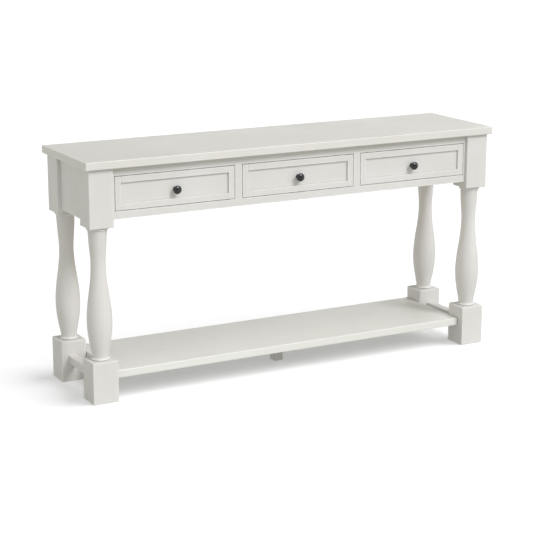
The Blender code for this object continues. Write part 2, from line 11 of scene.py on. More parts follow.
import bpy
import numpy as np
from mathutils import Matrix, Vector

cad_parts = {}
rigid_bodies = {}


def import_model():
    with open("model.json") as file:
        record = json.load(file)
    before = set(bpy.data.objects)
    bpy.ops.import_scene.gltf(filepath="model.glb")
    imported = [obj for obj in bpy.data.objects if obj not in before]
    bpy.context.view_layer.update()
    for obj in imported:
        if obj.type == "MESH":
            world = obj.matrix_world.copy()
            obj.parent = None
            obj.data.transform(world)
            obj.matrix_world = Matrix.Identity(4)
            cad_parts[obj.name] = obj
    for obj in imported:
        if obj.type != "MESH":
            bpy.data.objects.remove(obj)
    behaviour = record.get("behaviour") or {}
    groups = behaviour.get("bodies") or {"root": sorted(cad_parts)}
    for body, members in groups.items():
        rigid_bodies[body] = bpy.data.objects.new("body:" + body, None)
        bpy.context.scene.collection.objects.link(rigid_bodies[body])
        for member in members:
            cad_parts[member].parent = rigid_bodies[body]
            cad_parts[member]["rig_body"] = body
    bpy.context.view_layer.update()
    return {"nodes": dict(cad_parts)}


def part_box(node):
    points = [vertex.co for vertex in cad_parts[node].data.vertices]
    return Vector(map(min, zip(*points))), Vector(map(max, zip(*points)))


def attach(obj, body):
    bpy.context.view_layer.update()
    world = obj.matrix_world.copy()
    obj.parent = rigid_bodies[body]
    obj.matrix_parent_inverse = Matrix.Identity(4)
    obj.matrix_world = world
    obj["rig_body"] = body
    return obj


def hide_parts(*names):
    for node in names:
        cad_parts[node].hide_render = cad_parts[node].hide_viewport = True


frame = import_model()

# Arrises and turning
ARRIS_STEPS = 3
BOARD_ARRIS = 0.0010
OUTER_ARRIS = 0.0022
MEMBER_ARRIS = 0.0005
SUPPORT_LINE = 0.0006
# Band along each arris for wear and, on painted pieces, a painted highlight
WEAR_AND_HIGHLIGHT_BAND = 0.0045
CUT_THROUGH = 0.002
GLUE_LINE = 0.0003
MERGE_DIGITS = 7
SMOOTH_ANGLE = math.radians(38)
LEG_STEPS = 96
KNOB_STEPS = 64
SCREW_STEPS = 48
MOULDING_STEPS = 15

# The leg's outline
TENON_RADIUS = 0.016
NECK_RADIUS = 0.027
NECK_HEIGHT = 0.0015
COLLAR_RADIUS = 0.0345
COLLAR_HEIGHT = 0.0065
FILLET_RADIUS = 0.0298
FILLET_HEIGHT = 0.0060
SHOULDER_RADIUS = 0.0287
SHOULDER_DROP = 0.024
WAIST_RADIUS = 0.0234
WAIST_DROP = 0.119
BELLY_RISE = 0.122
ANKLE_RADIUS = 0.0250
BEAD_RADIUS = 0.0295
BEAD_HEIGHT = 0.0065
COVE_HEIGHT = 0.0030
COLLAR_STEP = 0.0002
NECK_EASE = 0.0005
TENON_EASE = 0.0010
ANKLE_FULLNESS = 1.15
WAIST_STEPS = 24
BELLY_STEPS = 34
ANKLE_STEPS = 30
COVE_STEPS = 8

# Drawer fronts
FRAME_WIDTH = 0.020
TONGUE = 0.006
JOINT_LINE = 0.0006
# Width of the painted shade along each drawer panel's frame
PAINTED_SHADE_BAND = 0.0024

# Knobs and their screws; each share is of the screw head's radius or height
KNOB_HEAD_HEIGHT = 0.0145
KNOB_STEM_RADIUS = 0.0065
KNOB_FOOT_RADIUS = 0.0085
KNOB_FOOT_HEIGHT = 0.002
KNOB_FOOT_EASE = 0.0003
KNOB_WEAR_START = 0.55
BALL_STEPS = 40
FLARE_STEPS = 10
SCREW_RADIUS = 0.002
SCREW_GRIP = 0.012
SCREW_POINT = 0.001
HEAD_FLAT_SHARE = 0.78
HEAD_DROP_SHARE = 0.6
HEAD_TOP_SHARE = 0.99
HEAD_RINGS = 22
HEAD_DOME_STEPS = 14
RECESS_DEPTH = 0.0012
RECESS_HALF_WIDTH = 0.00055
RECESS_REACH = 0.0023
RECESS_WALL = 0.0002
RECESS_END = 0.0004

# Shelf dowels; a flute's depth is a share of the radius
DOWEL_STEPS = 64
DOWEL_NOSE = 0.0008
DOWEL_FLUTES = 16
DOWEL_FLUTE = 0.04
NOSE_STEPS = 5

# The joint between the top's boards, which has opened a little at its ends
SEAM_WIDTH = 0.0012
SEAM_DEPTH = 0.0020

# Paint; a pattern's scale is its count in a metre, and it is stretched along the grain
PAINT_BODY = (0.730, 0.721, 0.699, 1.0)
PAINT_SHADE = (0.662, 0.652, 0.614, 1.0)
# Lighter arris paint: rubbed paint and a painted highlight
PAINT_RUBBED_AND_HIGHLIGHT = (0.850, 0.845, 0.820, 1.0)
# Darker paint for the painted shade along each drawer panel's frame
PAINTED_SHADE_COLOUR = (0.470, 0.452, 0.405, 1.0)
# The top boards get a copy of the paint tuned to how light falls on the top: painted light
TOP_PAINTED_LIGHT_BODY = (0.732, 0.724, 0.676, 1.0)
TOP_PAINTED_LIGHT_SHADE = (0.694, 0.686, 0.631, 1.0)
# The shelf gets a lighter copy of the paint: painted light to make up for its shade under the
# apron
SHELF_PAINTED_LIGHT_BODY = (0.774, 0.784, 0.743, 1.0)
SHELF_PAINTED_LIGHT_SHADE = (0.733, 0.739, 0.691, 1.0)
MEMBER_GLOSS = 0.44
FLAT_GLOSS = 0.40
MEMBER_STREAK = 0.35
FLAT_STREAK = 0.50
STROKE_STRETCH = 0.045
DRIFT_SCALE = 3.1
STROKE_SCALE = 95.0
PAINT_FIBRE_SCALE = 520.0
PATCH_SCALE = 42.0
SKIN_SCALE = 900.0
STROKE_DEPTH = 0.00012
PAINT_FIBRE_DEPTH = 0.00005
SKIN_DEPTH = 0.00004

# Bare wood
WOOD_LIGHT = (0.66, 0.50, 0.33, 1.0)
WOOD_DARK = (0.56, 0.40, 0.24, 1.0)
WOOD_FIBRE = (0.46, 0.32, 0.19, 1.0)
BAND_STRETCH = 0.07
BAND_SCALE = 26.0
BAND_BEND = 1.2
BAND_COUNT = 42.0
FIBRE_STRETCH = 0.02
FIBRE_SCALE = 620.0
FIBRE_DEPTH = 0.00012
BAND_DEPTH = 0.00005

# Metals
KNOB_BODY = (0.012, 0.012, 0.015, 1.0)
KNOB_RUBBED = (0.036, 0.036, 0.042, 1.0)
BLOOM_SCALE = 160.0
GRIT_SCALE = 1500.0
GRIT_DEPTH = 0.000005
ZINC_PALE = (0.60, 0.60, 0.60, 1.0)
ZINC_BLUE = (0.46, 0.47, 0.49, 1.0)
SPANGLE_SCALE = 700.0

# Camera and light; a fade is where a patch of the dome comes or goes, on a unit ball
VIEW_TURN = math.radians(28.27)
VIEW_DROP = math.radians(13.87)
VIEW_PLACE = (-2.4934, -4.5782, 1.6073)
SENSOR = 36.0
LENS = 108.5
KEY_DIRECTION = (0.44, -1.0, 0.94)
KEY_SPREAD = math.radians(22)
KEY_STRENGTH = 1.73
KEY_COLOUR = (0.955, 0.938, 1.0)
FLOOR_LIGHT_DIRECTION = (0.9, -0.4, 0.85)
FLOOR_LIGHT_SPREAD = math.radians(56)
FLOOR_LIGHT_STRENGTH = 2.05
LOW_PIECE_WORDS = ("foot_block", "shelf", "stretcher")
WHITE = (1.0, 1.0, 1.0, 1.0)
DOME_COLOUR = (0.998, 1.0, 0.965, 1.0)
DOME_SIDE = 1.29
DOME_REAR = 0.72
DOME_CROWN = 1.26
CROWN_LEAN = (0.5, 0.87)
LOW_FADE = (0.1, 0.7)
SIDE_FADE = (0.25, 0.8)
SIDE_TURN_FADE = (-0.3, 0.6)
REAR_FADE = (0.0, 0.7)
CROWN_FADE = (0.6, 0.95)
FLOOR_SEEN = (0.900, 0.900, 0.935, 1.0)
FLOOR_BOUNCE = (0.410, 0.408, 0.375, 1.0)
FLOOR_GLOW = 0.19
FLOOR_REACH = 60.0

SIDES = ("left", "right")
CORNERS = ("front_left", "front_right", "rear_left", "rear_right")
DRAWERS = ("left_drawer", "middle_drawer", "right_drawer")


# ---------------------------------------------------------------- node helpers


def add_node(tree, kind, inputs=None, **settings):
    """A shader node; inputs maps a socket to a value or to another node's output."""
    made = tree.nodes.new(kind)
    for name, value in settings.items():
        setattr(made, name, value)
    for name, value in (inputs or {}).items():
        if isinstance(value, bpy.types.NodeSocket):
            tree.links.new(value, made.inputs[name])
        else:
            made.inputs[name].default_value = value
    return made


def mix_colours(tree, share, first, second):
    """One colour laid over another by a share."""
    mixed = add_node(tree, "ShaderNodeMix", {0: share, 6: first, 7: second}, data_type="RGBA")
    return mixed.outputs[2]


def remap(tree, value, from_low, from_high, to_low, to_high):
    """A value carried from one range to another, with soft ends."""
    made = add_node(
        tree, "ShaderNodeMapRange",
        {0: value, 1: from_low, 2: from_high, 3: to_low, 4: to_high},
        interpolation_type="SMOOTHSTEP",
    )
    return made.outputs[0]


def calculate(tree, operation, first, second):
    """A sum, a product or another operation on two values; some use only the first."""
    return add_node(tree, "ShaderNodeMath", {0: first, 1: second}, operation=operation).outputs[0]


def place_on(tree):
    """Object coordinates: the place on the piece, in metres."""
    return add_node(tree, "ShaderNodeTexCoord").outputs["Object"]


def share_on(tree, name):
    """A share stored on the piece's points, 0 where the piece has none."""
    return add_node(tree, "ShaderNodeAttribute", attribute_name=name).outputs["Fac"]


def along_grain(tree, grain, stretch):
    """Object coordinates squeezed along the grain, so that a pattern runs in long streaks."""
    scale = [1.0, 1.0, 1.0]
    scale["xyz".index(grain)] = stretch
    inputs = {"Vector": place_on(tree), "Scale": scale}
    return add_node(tree, "ShaderNodeMapping", inputs).outputs[0]


def cloud(tree, place, scale, detail=3.0, roughness=0.55, distortion=0.0):
    """A soft random pattern from 0 to 1."""
    made = add_node(
        tree, "ShaderNodeTexNoise",
        {"Vector": place, "Scale": scale, "Detail": detail, "Roughness": roughness,
         "Distortion": distortion},
    )
    return made.outputs["Fac"]


def raised(tree, height, depth, normal=None):
    """The surface pushed out by a pattern, to a depth in metres."""
    inputs = {"Height": height, "Distance": depth, "Strength": 1.0}
    if normal is not None:
        inputs["Normal"] = normal
    return add_node(tree, "ShaderNodeBump", inputs).outputs[0]


def blank_finish(name):
    """A new material with its node tree and its shader."""
    material = bpy.data.materials.new(name)
    material.use_nodes = True
    tree = material.node_tree
    return material, tree, tree.nodes["Principled BSDF"]


# ---------------------------------------------------------------- finishes


def satin_paint(name, grain, body, shade, gloss, streak):
    """Satin paint brushed along the grain of planed wood.

    The body colour drifts slowly towards the shade, long strokes and the faint grain under the
    paint vary it again, and the arrises are lighter and smoother in broken patches: rubbed paint
    and a painted highlight. Where a piece stores painted shade, the colour is darker there.
    """
    material, tree, shader = blank_finish(name)
    plain = place_on(tree)
    streaks = along_grain(tree, grain, STROKE_STRETCH)
    drift = cloud(tree, plain, DRIFT_SCALE, 4.0)
    strokes = cloud(tree, streaks, STROKE_SCALE, 3.0, 0.6)
    fibres = cloud(tree, streaks, PAINT_FIBRE_SCALE, 2.0, 0.65)
    colour = mix_colours(tree, remap(tree, drift, 0.35, 0.68, 0.0, 0.55), body, shade)
    colour = mix_colours(tree, remap(tree, strokes, 0.40, 0.75, 0.0, streak), colour, shade)
    lines = remap(tree, fibres, 0.58, 0.78, 0.0, 0.42)
    colour = mix_colours(tree, lines, colour, shade)
    patches = cloud(tree, plain, PATCH_SCALE, 4.0, 0.7)
    broken = remap(tree, patches, 0.38, 0.62, 0.25, 1.0)
    # Arrises: rubbed paint and a painted highlight, lighter and smoother in broken patches
    edge_share = calculate(tree, "MULTIPLY", share_on(tree, "edge"), broken)
    colour = mix_colours(tree, edge_share, colour, PAINT_RUBBED_AND_HIGHLIGHT)
    # Painted shade: darker paint where a piece stores it, as along a drawer panel's frame
    uneven = remap(tree, patches, 0.30, 0.65, 0.45, 1.0)
    glaze = calculate(tree, "MULTIPLY", share_on(tree, "glaze"), uneven)
    colour = mix_colours(tree, glaze, colour, PAINTED_SHADE_COLOUR)
    tree.links.new(colour, shader.inputs["Base Color"])
    sheen_drift = calculate(tree, "ADD", calculate(tree, "MULTIPLY", strokes, 0.5),
                            calculate(tree, "MULTIPLY", drift, 0.5))
    rough = remap(tree, sheen_drift, 0.35, 0.65, gloss - 0.05, gloss + 0.07)
    rough = calculate(tree, "SUBTRACT", rough, calculate(tree, "MULTIPLY", edge_share, 0.08))
    tree.links.new(rough, shader.inputs["Roughness"])
    normal = raised(tree, cloud(tree, plain, SKIN_SCALE, 2.0), SKIN_DEPTH)
    normal = raised(tree, strokes, STROKE_DEPTH, normal)
    normal = raised(tree, fibres, PAINT_FIBRE_DEPTH, normal)
    tree.links.new(normal, shader.inputs["Normal"])
    return material


def bare_wood(name, grain):
    """Planed pale wood, with fine fibres and open pores.

    Its bands of early and late growth are the sine of a soft pattern drawn out along the grain.
    """
    material, tree, shader = blank_finish(name)
    bands = cloud(tree, along_grain(tree, grain, BAND_STRETCH), BAND_SCALE, 2.0, 0.5, BAND_BEND)
    ripple = calculate(tree, "SINE", calculate(tree, "MULTIPLY", bands, BAND_COUNT), 0.0)
    growth = remap(tree, ripple, -0.9, 1.0, 0.0, 1.0)
    fibres = cloud(tree, along_grain(tree, grain, FIBRE_STRETCH), FIBRE_SCALE, 3.0, 0.7)
    colour = mix_colours(tree, growth, WOOD_LIGHT, WOOD_DARK)
    colour = mix_colours(tree, remap(tree, fibres, 0.50, 0.75, 0.0, 0.55), colour, WOOD_FIBRE)
    edge_share = calculate(tree, "MULTIPLY", share_on(tree, "edge"), 0.35)
    colour = mix_colours(tree, edge_share, colour, WOOD_FIBRE)
    tree.links.new(colour, shader.inputs["Base Color"])
    tree.links.new(remap(tree, fibres, 0.3, 0.7, 0.52, 0.68), shader.inputs["Roughness"])
    normal = raised(tree, fibres, FIBRE_DEPTH)
    normal = raised(tree, growth, BAND_DEPTH, normal)
    tree.links.new(normal, shader.inputs["Normal"])
    return material


def dark_metal(name):
    """Blackened metal with a cloudy bloom, rubbed a little brighter where fingers reach."""
    material, tree, shader = blank_finish(name)
    plain = place_on(tree)
    bloom = cloud(tree, plain, BLOOM_SCALE, 4.0, 0.65)
    broken = remap(tree, bloom, 0.42, 0.62, 0.1, 0.9)
    edge_share = calculate(tree, "MULTIPLY", share_on(tree, "edge"), broken)
    share = calculate(tree, "MAXIMUM", edge_share, remap(tree, bloom, 0.50, 0.80, 0.0, 0.35))
    colour = mix_colours(tree, share, KNOB_BODY, KNOB_RUBBED)
    tree.links.new(colour, shader.inputs["Base Color"])
    tree.links.new(remap(tree, bloom, 0.3, 0.7, 0.10, 0.19), shader.inputs["Roughness"])
    normal = raised(tree, cloud(tree, plain, GRIT_SCALE, 2.0), GRIT_DEPTH)
    tree.links.new(normal, shader.inputs["Normal"])
    shader.inputs["Metallic"].default_value = 0.35
    shader.inputs["Specular IOR Level"].default_value = 1.0
    return material


def plated_steel(name):
    """Zinc-plated steel with a fine spangle."""
    material, tree, shader = blank_finish(name)
    spangle = cloud(tree, place_on(tree), SPANGLE_SCALE, 3.0, 0.6)
    share = remap(tree, spangle, 0.35, 0.65, 0.0, 1.0)
    colour = mix_colours(tree, share, ZINC_PALE, ZINC_BLUE)
    tree.links.new(colour, shader.inputs["Base Color"])
    tree.links.new(remap(tree, spangle, 0.3, 0.7, 0.26, 0.42), shader.inputs["Roughness"])
    shader.inputs["Metallic"].default_value = 1.0
    return material


PAINT = {
    grain: satin_paint(f"antique_white_along_{grain}", grain, PAINT_BODY, PAINT_SHADE,
                       MEMBER_GLOSS, MEMBER_STREAK)
    for grain in "xyz"
}
# The top's copy of the paint is tuned to how light falls on it: painted light
TOP_PAINT_WITH_PAINTED_LIGHT = satin_paint("antique_white_top", "x", TOP_PAINTED_LIGHT_BODY, TOP_PAINTED_LIGHT_SHADE, FLAT_GLOSS, FLAT_STREAK)
# The shelf's copy of the paint is lighter: painted light for its shade under the apron
SHELF_PAINT_WITH_PAINTED_LIGHT = satin_paint("antique_white_shelf", "x", SHELF_PAINTED_LIGHT_BODY, SHELF_PAINTED_LIGHT_SHADE, FLAT_GLOSS,
                          FLAT_STREAK)
DRAWER_WOOD = {grain: bare_wood(f"drawer_wood_along_{grain}", grain) for grain in "xy"}
KNOB_METAL = dark_metal("blackened_knob")
SCREW_STEEL = plated_steel("screw_steel")


# ---------------------------------------------------------------- surfaces


def arris_lines(half, arris, bands):
    """Positions across a board, from one side to the other.

    They are close together through each rounded arris, where the steps are tangents of equal
    angles, with one line just inside it, one where the band of wear and painted highlight ends,
    and one at each of the further bands, whose distances are taken from the board's side.
    """
    turn = arris * np.tan(np.linspace(0, np.pi / 4, ARRIS_STEPS + 1))
    beside_arris = half - arris - np.array([WEAR_AND_HIGHLIGHT_BAND, SUPPORT_LINE])
    inside = np.append(half - np.array(bands, float), beside_arris)
    inside = np.sort(inside[inside > 0])
    outer = np.concatenate([inside, half - arris + turn])
    return np.concatenate([-outer[::-1], outer])


def eased_board(low, high, arris, square=(), bands=()):
    """A board with rounded arrises, as points and quads.

    Each point on the plain box is pushed back to the smaller box that lies one arris inside it,
    and out again by the arris in the same direction, so faces stay flat, edges become quarter
    rounds and corners become parts of a ball. A side named in square, such as "+y", ends flat.
    """
    low = np.array(low, float)
    high = np.array(high, float)
    end_low, end_high = low.copy(), high.copy()
    for side in square:
        axis = "xyz".index(side[1])
        if side[0] == "+":
            high[axis] += arris
        else:
            low[axis] -= arris
    middle = (low + high) / 2
    half = (high - low) / 2
    lines = [arris_lines(h, arris, bands) for h in half]
    points, quads, count = [], [], 0
    for axis in range(3):
        across, along = (axis + 1) % 3, (axis + 2) % 3
        first, second = np.meshgrid(lines[across], lines[along], indexing="ij")
        rows, columns = first.shape
        index = np.arange(rows * columns).reshape(rows, columns)
        ring = np.stack([index[:-1, :-1], index[1:, :-1], index[1:, 1:], index[:-1, 1:]], -1)
        for sign in (-1, 1):
            face = np.empty((rows * columns, 3))
            face[:, axis] = sign * half[axis]
            face[:, across] = first.ravel()
            face[:, along] = second.ravel()
            points.append(face)
            quads.append(ring.reshape(-1, 4)[:, ::sign] + count)
            count += rows * columns
    points = np.concatenate(points)
    inner = np.clip(points, arris - half, half - arris)
    outward = points - inner
    outward *= arris / np.linalg.norm(outward, axis=1, keepdims=True)
    points = np.clip(inner + outward + middle, end_low, end_high)
    return merged(points, np.concatenate(quads))


def merged(points, faces):
    """Points that lie together made one, and faces that this leaves with no area dropped."""
    keys = np.round(points, MERGE_DIGITS)
    keys, first, same = np.unique(keys, axis=0, return_index=True, return_inverse=True)
    faces = same.reshape(-1)[faces]
    ordered = np.sort(faces, axis=1)
    whole = (np.diff(ordered, axis=1) != 0).all(axis=1)
    return points[first], faces[whole].tolist()


def revolved(outline, steps, foot, axis="z"):
    """An outline of (radius, height) turned about its axis, as points and faces.

    Each point is the outline's radius at equal angles round the axis. The outline starts and
    ends on the axis, where each end is one point with a fan of triangles.
    """
    outline = np.array(outline, float)
    angle = np.linspace(0, 2 * np.pi, steps, endpoint=False)
    radius, height = outline[1:-1, 0, None], outline[1:-1, 1, None]
    x = radius * np.cos(angle)
    y = radius * np.sin(angle)
    z = np.broadcast_to(height, x.shape)
    body = np.stack([x, y, z], -1).reshape(-1, 3)
    poles = np.array([[0, 0, outline[0, 1]], [0, 0, outline[-1, 1]]])
    points = np.concatenate([body, poles])
    if axis == "y":
        points = np.stack([points[:, 0], -points[:, 2], points[:, 1]], -1)
    if axis == "x":
        points = np.stack([points[:, 2], points[:, 0], points[:, 1]], -1)
    points = points + np.array(foot, float)
    index = np.arange(radius.size * steps).reshape(-1, steps)
    after = np.roll(index, -1, axis=1)
    quads = np.stack([index[:-1], index[1:], after[1:], after[:-1]], -1).reshape(-1, 4)
    first, last = len(body), len(body) + 1
    top = np.stack([np.full(steps, first), index[0], after[0]], -1)
    bottom = np.stack([np.full(steps, last), after[-1], index[-1]], -1)
    return points, quads.tolist() + top.tolist() + bottom.tolist()


def new_piece(name, points, faces, material):
    """A piece at the origin, made from points and faces."""
    mesh = bpy.data.meshes.new(name)
    mesh.from_pydata(points.tolist(), [], faces)
    mesh.materials.append(material)
    piece = bpy.data.objects.new(name, mesh)
    bpy.context.scene.collection.objects.link(piece)
    return piece


def cut_away(piece, *tools):
    """Take each tool's (points, faces) out of a piece, and keep only the result."""
    made = []
    for number, (points, faces) in enumerate(tools):
        tool = new_piece(f"tool_{number}", points, faces, piece.data.materials[0])
        boolean = piece.modifiers.new("cut", "BOOLEAN")
        boolean.solver = "EXACT"
        boolean.object = tool
        made.append(tool)
    ready = piece.evaluated_get(bpy.context.evaluated_depsgraph_get())
    cut_mesh = bpy.data.meshes.new_from_object(ready)
    piece.modifiers.clear()
    piece.data = cut_mesh
    for tool in made:
        bpy.data.objects.remove(tool)


def set_share(piece, name, values):
    """Store a share from 0 to 1 on each point: arris wear and painted highlight, or painted shade.
    """
    attribute = piece.data.attributes.new(name, "FLOAT", "POINT")
    attribute.data.foreach_set("value", np.asarray(values, np.float32))


def points_of(piece):
    """A piece's points as one array."""
    flat = np.empty(len(piece.data.vertices) * 3, np.float32)
    piece.data.vertices.foreach_get("co", flat)
    return flat.reshape(-1, 3).astype(float)


def finish_piece(piece, body, slot, *nodes):
    """Smooth shading, a body to ride on and the frame nodes it stands for; the slot is not used.
    """
    piece.data.shade_smooth()
    piece.data.set_sharp_from_angle(angle=SMOOTH_ANGLE)
    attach(piece, body)
    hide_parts(*nodes)


def body_of(node):
    """The body that a frame node moves with."""
    return frame["nodes"][node]["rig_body"]


def board_piece(name, low, high, material, slot, node, arris=BOARD_ARRIS, square=(), tools=(),
                bands=()):
    """A finished board between two corners, standing for one frame node.

    A point's share of wear, and on painted boards of painted highlight, is the square of how
    near it lies to an arris, which is its second smallest distance from the board's sides,
    counted against that band.
    """
    points, faces = eased_board(low, high, arris, square, bands)
    piece = new_piece(name, points, faces, material)
    if tools:
        cut_away(piece, *tools)
    below, above = points_of(piece) - np.array(low), np.array(high) - points_of(piece)
    for side in square:
        (above if side[0] == "+" else below)[:, "xyz".index(side[1])] = np.inf
    depth = np.sort(np.minimum(below, above))
    # The arris share: wear, and on painted boards a painted highlight
    set_share(piece, "edge", np.clip(1 - depth[:, 1] / WEAR_AND_HIGHLIGHT_BAND, 0, 1) ** 2)
    finish_piece(piece, body_of(node), slot, node)
    return piece


def easing(share):
    """A smooth step from 0 to 1, level at both ends."""
    return (1 - np.cos(np.pi * share)) / 2


def stretch_of(low, high, radius_low, radius_high, curve, steps):
    """A stretch of outline: the radius follows a curve from one value to the other."""
    share = np.linspace(0, 1, steps)
    radius = radius_low + (radius_high - radius_low) * curve(share)
    return np.stack([radius, low + (high - low) * share], -1)


def quarter_wave(share):
    """A rise that leaves 0 steeply and levels out at 1: a power of a quarter of a sine."""
    return np.sin(np.pi / 2 * share) ** ANKLE_FULLNESS


def hollow(share):
    """A quarter of a circle, level at 0 and upright at 1."""
    return 1 - np.sqrt(1 - share ** 2)


def moulding(radius, top, bottom):
    """A half-round moulding down from one height to another, with that outermost radius."""
    half = (top - bottom) / 2
    angle = np.linspace(0, np.pi, MOULDING_STEPS)
    return np.stack([radius - half + half * np.sin(angle),
                     (top + bottom) / 2 + half * np.cos(angle)], -1)


# ---------------------------------------------------------------- pieces


def box_tool(low, high):
    """A plain box, as points and quads, to cut with."""
    corners = np.array(np.meshgrid(*zip(low, high), indexing="ij")).reshape(3, -1).T
    quads = [[0, 1, 3, 2], [4, 6, 7, 5], [0, 4, 5, 1], [2, 3, 7, 6], [0, 2, 6, 4], [1, 5, 7, 3]]
    return corners, quads


def round_tool(radius, low, high, axis_at):
    """A plain upright cylinder, as points and faces, to cut with."""
    outline = [(0, high), (radius, high), (radius, low), (0, low)]
    return revolved(outline, LEG_STEPS // 2, (*axis_at, 0.0))


def room_for(node, past=0.0):
    """The space that a frame node takes, with its glue line, as a tool to cut with.

    It may reach further past the node's front and back, where a groove runs out of a board.
    """
    low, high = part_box(node)
    gap = Vector((GLUE_LINE, GLUE_LINE + past, GLUE_LINE))
    return box_tool(low - gap, high + gap)


def make_top():
    """The two boards of the top, flat against each other at a seam that is open at its ends."""
    front_low, front_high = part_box("top_front_board")
    seam = front_high.y + GLUE_LINE / 2
    slots = []
    for end, inward in ((front_low.x, 1), (front_high.x, -1)):
        edges = sorted((end - inward * CUT_THROUGH, end + inward * SEAM_DEPTH))
        slots.append(box_tool((edges[0], seam - SEAM_WIDTH / 2, front_low.z - CUT_THROUGH),
                              (edges[1], seam + SEAM_WIDTH / 2, front_high.z - OUTER_ARRIS)))
    # The top boards' paint is a copy tuned to how light falls on the top: painted light
    for node, square in (("top_front_board", ("+y",)), ("top_rear_board", ("-y",))):
        low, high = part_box(node)
        board_piece(f"{node}_painted", low, high, TOP_PAINT_WITH_PAINTED_LIGHT, "antique_white_top_paint", node,
                    OUTER_ARRIS, square, slots)


def make_corner(corner):
    """One corner: post, turned leg and foot block."""
    post_low, post_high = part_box(f"{corner}_post")
    block_low, block_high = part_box(f"{corner}_foot_block")
    leg_low, leg_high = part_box(f"{corner}_leg")
    axis_at = ((leg_low.x + leg_high.x) / 2, (leg_low.y + leg_high.y) / 2)
    socket = TENON_RADIUS + GLUE_LINE
    post_tools = [round_tool(socket, post_low.z - CUT_THROUGH, leg_high.z + GLUE_LINE, axis_at)]
    block_tools = [round_tool(socket, leg_low.z - GLUE_LINE, block_high.z + CUT_THROUGH, axis_at)]
    end, side = corner.split("_")
    tongued = {"front": ["front_top_rail", "front_bottom_rail", f"{side}_end_stile"],
               "rear": ["back_panel"]}
    post_tools += [room_for(node) for node in tongued[end] + [f"{side}_side_panel"]]
    block_tools += [room_for(f"{side}_stretcher"), dowel_hole(corner)]
    board_piece(f"{corner}_post_painted", post_low, post_high, PAINT["z"],
                "antique_white_paint", f"{corner}_post", OUTER_ARRIS, tools=post_tools)
    board_piece(f"{corner}_foot_block_painted", block_low, block_high, PAINT["z"],
                "antique_white_paint", f"{corner}_foot_block", OUTER_ARRIS, tools=block_tools)
    make_leg(corner, axis_at, block_high.z + GLUE_LINE, post_low.z - GLUE_LINE)


def make_leg(corner, axis_at, foot, shoulder_height):
    """A turned leg between its block and its post.

    Its outline runs down from the upper tenon: neck, half-round collar, fillet, shoulder that
    eases into the waist, waist that eases into the belly, a quarter wave in to the ankle, a
    small cove, the foot bead and the lower tenon.
    """
    low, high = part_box(f"{corner}_leg")
    belly_radius = (high.x - low.x) / 2
    length = shoulder_height - foot
    collar_top = length - NECK_HEIGHT
    collar_bottom = collar_top - COLLAR_HEIGHT
    fillet_bottom = collar_bottom - FILLET_HEIGHT
    shoulder = length - SHOULDER_DROP
    waist = length - WAIST_DROP
    cove_top = BEAD_HEIGHT + COVE_HEIGHT
    tenon_top, tenon_bottom = high.z - foot, low.z - foot
    bead_side = BEAD_RADIUS - BEAD_HEIGHT / 2
    ankle = stretch_of(cove_top, BELLY_RISE, ANKLE_RADIUS, belly_radius, quarter_wave, ANKLE_STEPS)
    outline = np.concatenate([
        [(0.0, tenon_top), (TENON_RADIUS - TENON_EASE, tenon_top),
         (TENON_RADIUS, tenon_top - TENON_EASE), (TENON_RADIUS, length),
         (NECK_RADIUS - NECK_EASE, length), (NECK_RADIUS, length - NECK_EASE)],
        moulding(COLLAR_RADIUS, collar_top, collar_bottom),
        [(FILLET_RADIUS, collar_bottom - COLLAR_STEP), (FILLET_RADIUS, fillet_bottom)],
        stretch_of(shoulder, waist, SHOULDER_RADIUS, WAIST_RADIUS, easing, WAIST_STEPS),
        stretch_of(waist, BELLY_RISE, WAIST_RADIUS, belly_radius, easing, BELLY_STEPS)[1:],
        ankle[-2::-1],
        stretch_of(cove_top, BEAD_HEIGHT, ANKLE_RADIUS, bead_side, hollow, COVE_STEPS)[1:],
        moulding(BEAD_RADIUS, BEAD_HEIGHT, 0.0)[1:],
        [(TENON_RADIUS, 0.0), (TENON_RADIUS, tenon_bottom + TENON_EASE),
         (TENON_RADIUS - TENON_EASE, tenon_bottom), (0.0, tenon_bottom)],
    ])
    points, faces = revolved(outline, LEG_STEPS, (*axis_at, foot))
    leg = new_piece(f"{corner}_leg_turned", points, faces, PAINT["z"])
    height = points[:, 2] - foot
    collar_middle = (collar_top + collar_bottom) / 2
    # The collar's and the foot bead's crests get the lighter arris paint: worn paint and a painted
    # highlight on each lit rim
    crest = np.maximum(
        1 - np.abs(height - collar_middle) / (COLLAR_HEIGHT / 2),
        1 - np.abs(height - BEAD_HEIGHT / 2) / (BEAD_HEIGHT / 2),
    )
    set_share(leg, "edge", np.clip(crest, 0, 1))
    finish_piece(leg, body_of(f"{corner}_leg"), "antique_white_paint", f"{corner}_leg")


def make_plain_boards():
    """The face frame around the drawers, with its small arrises, and the other plain boards."""
    plain_boards = (
        ("front_top_rail", "x", MEMBER_ARRIS),
        ("front_bottom_rail", "x", MEMBER_ARRIS),
        ("left_end_stile", "z", MEMBER_ARRIS),
        ("right_end_stile", "z", MEMBER_ARRIS),
        ("drawer_divider_1", "z", MEMBER_ARRIS),
        ("drawer_divider_2", "z", MEMBER_ARRIS),
        ("left_side_panel", "y", BOARD_ARRIS),
        ("right_side_panel", "y", BOARD_ARRIS),
        ("back_panel", "x", BOARD_ARRIS),
        ("left_stretcher", "y", BOARD_ARRIS),
        ("right_stretcher", "y", BOARD_ARRIS),
        ("shelf_centre_foot", "z", BOARD_ARRIS),
    )
    for node, grain, arris in plain_boards:
        low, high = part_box(node)
        board_piece(f"{node}_painted", low, high, PAINT[grain], "antique_white_paint", node, arris)


def dowel_hole(corner):
    """The round hole that a shelf dowel sits in, as a tool to cut with."""
    low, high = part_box(f"{corner}_shelf_dowel")
    radius = (high.z - low.z) / 2 + GLUE_LINE
    outline = [(0, high.x + GLUE_LINE), (radius, high.x + GLUE_LINE),
               (radius, low.x - GLUE_LINE), (0, low.x - GLUE_LINE)]
    return revolved(outline, SCREW_STEPS, (0.0, (low.y + high.y) / 2, (low.z + high.z) / 2), "x")


